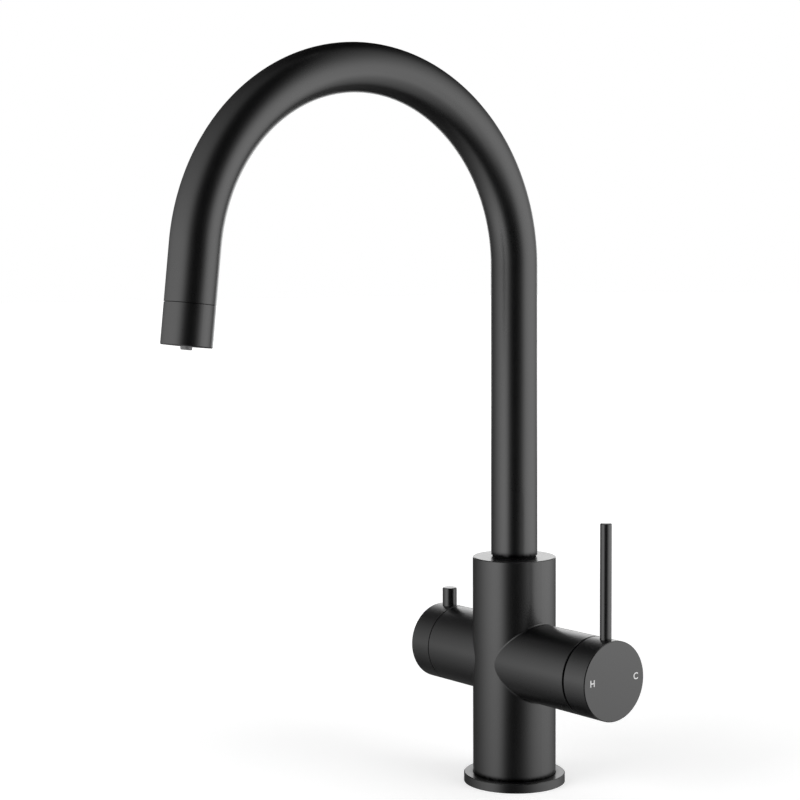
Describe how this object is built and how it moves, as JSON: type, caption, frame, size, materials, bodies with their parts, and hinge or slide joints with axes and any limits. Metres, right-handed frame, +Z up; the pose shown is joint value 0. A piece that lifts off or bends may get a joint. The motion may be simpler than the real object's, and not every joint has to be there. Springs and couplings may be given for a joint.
{
  "type": "water filter kitchen tap",
  "caption": "Three-way kitchen tap with a tall swinging gooseneck, a disc mixer with a pin lever on one arm and a filtered water valve on the other.",
  "frame": {"origin": "middle of the foot, on the worktop, at the mouth of the stud hole", "axes": "+Z up, -Y to the front where the spout points, +X towards the mixer handle"},
  "size_m": [0.1424, 0.244, 0.3922],
  "materials": {
    "black_finish": "matt black coating on brass",
    "brass": "turned, uncoated",
    "steel": "plain stainless steel",
    "alumina": "lapped alumina",
    "cartridge_plastic": "moulded",
    "dark_plastic": "moulded, dark",
    "pale_plastic": "moulded, pale grey",
    "rubber": "moulded seal",
    "tube_plastic": "drawn plastic tube"
  },
  "bodies": {
    "tap_body": {"body": "black_finish", "base_flange": "black_finish", "base_seal": "rubber", "glide_ring": "dark_plastic", "spout_retaining_screw": "steel", "cartridge_housing": "cartridge_plastic", "cartridge_base": "cartridge_plastic", "cartridge_seals": "rubber", "fixed_mixing_disc": "alumina", "cartridge_nut": "brass", "dome_cover": "dark_plastic", "filter_headwork": "brass", "headwork_seal": "rubber", "filter_seat_washer": "rubber", "filter_fixed_disc": "alumina", "inner_tube_seal": "rubber"},
    "mixing_rotor": {"mixing_carrier": "cartridge_plastic", "tilt_pin": "steel"},
    "mixing_disc": {"moving_mixing_disc": "alumina"},
    "mixer_handle": {"mixer_stem": "brass", "mixer_knob": "black_finish", "mixer_lever": "black_finish", "mixer_grub_screw": "steel"},
    "spout": {"spout_tube": "black_finish", "spout_spigot": "brass", "spout_seals": "rubber", "filter_water_tube": "tube_plastic", "outlet_adapter": "brass", "outlet_sleeve": "black_finish", "aerator_insert": "pale_plastic", "aerator_seal": "rubber", "filter_nozzle": "pale_plastic"},
    "filter_handle": {"filter_spindle": "brass", "spindle_seal": "rubber", "filter_moving_disc": "alumina", "filter_knob": "black_finish", "filter_lever": "black_finish", "filter_grub_screw": "steel"}
  },
  "joints": [
    {"name": "spout_swivel", "type": "hinge", "parent": "tap_body", "child": "spout", "pos_m": [0, 0, 0.1234], "axis": [0, 0, 1], "range_deg": [-90, 90]},
    {"name": "handle_temperature", "type": "hinge", "parent": "tap_body", "child": "mixing_rotor", "pos_m": [0.0476, 0, 0.0679], "axis": [1, 0, 0], "range_deg": [-45, 45]},
    {"name": "handle_flow", "type": "hinge", "parent": "mixing_rotor", "child": "mixer_handle", "pos_m": [0.0476, 0, 0.0679], "axis": [0, 1, 0], "range_deg": [0, 22]},
    {"name": "mixing_disc_slide", "type": "slide", "parent": "mixing_rotor", "child": "mixing_disc", "axis": [0, 0, 1], "range_m": [0, 0.006]},
    {"name": "filter_quarter_turn", "type": "hinge", "parent": "tap_body", "child": "filter_handle", "pos_m": [-0.0559, 0, 0.0679], "axis": [1, 0, 0], "range_deg": [0, 90]}
  ],
  "couplings": [
    {"joint": "mixing_disc_slide", "follows": "handle_flow", "m_per_rad": 0.01561}
  ]
}
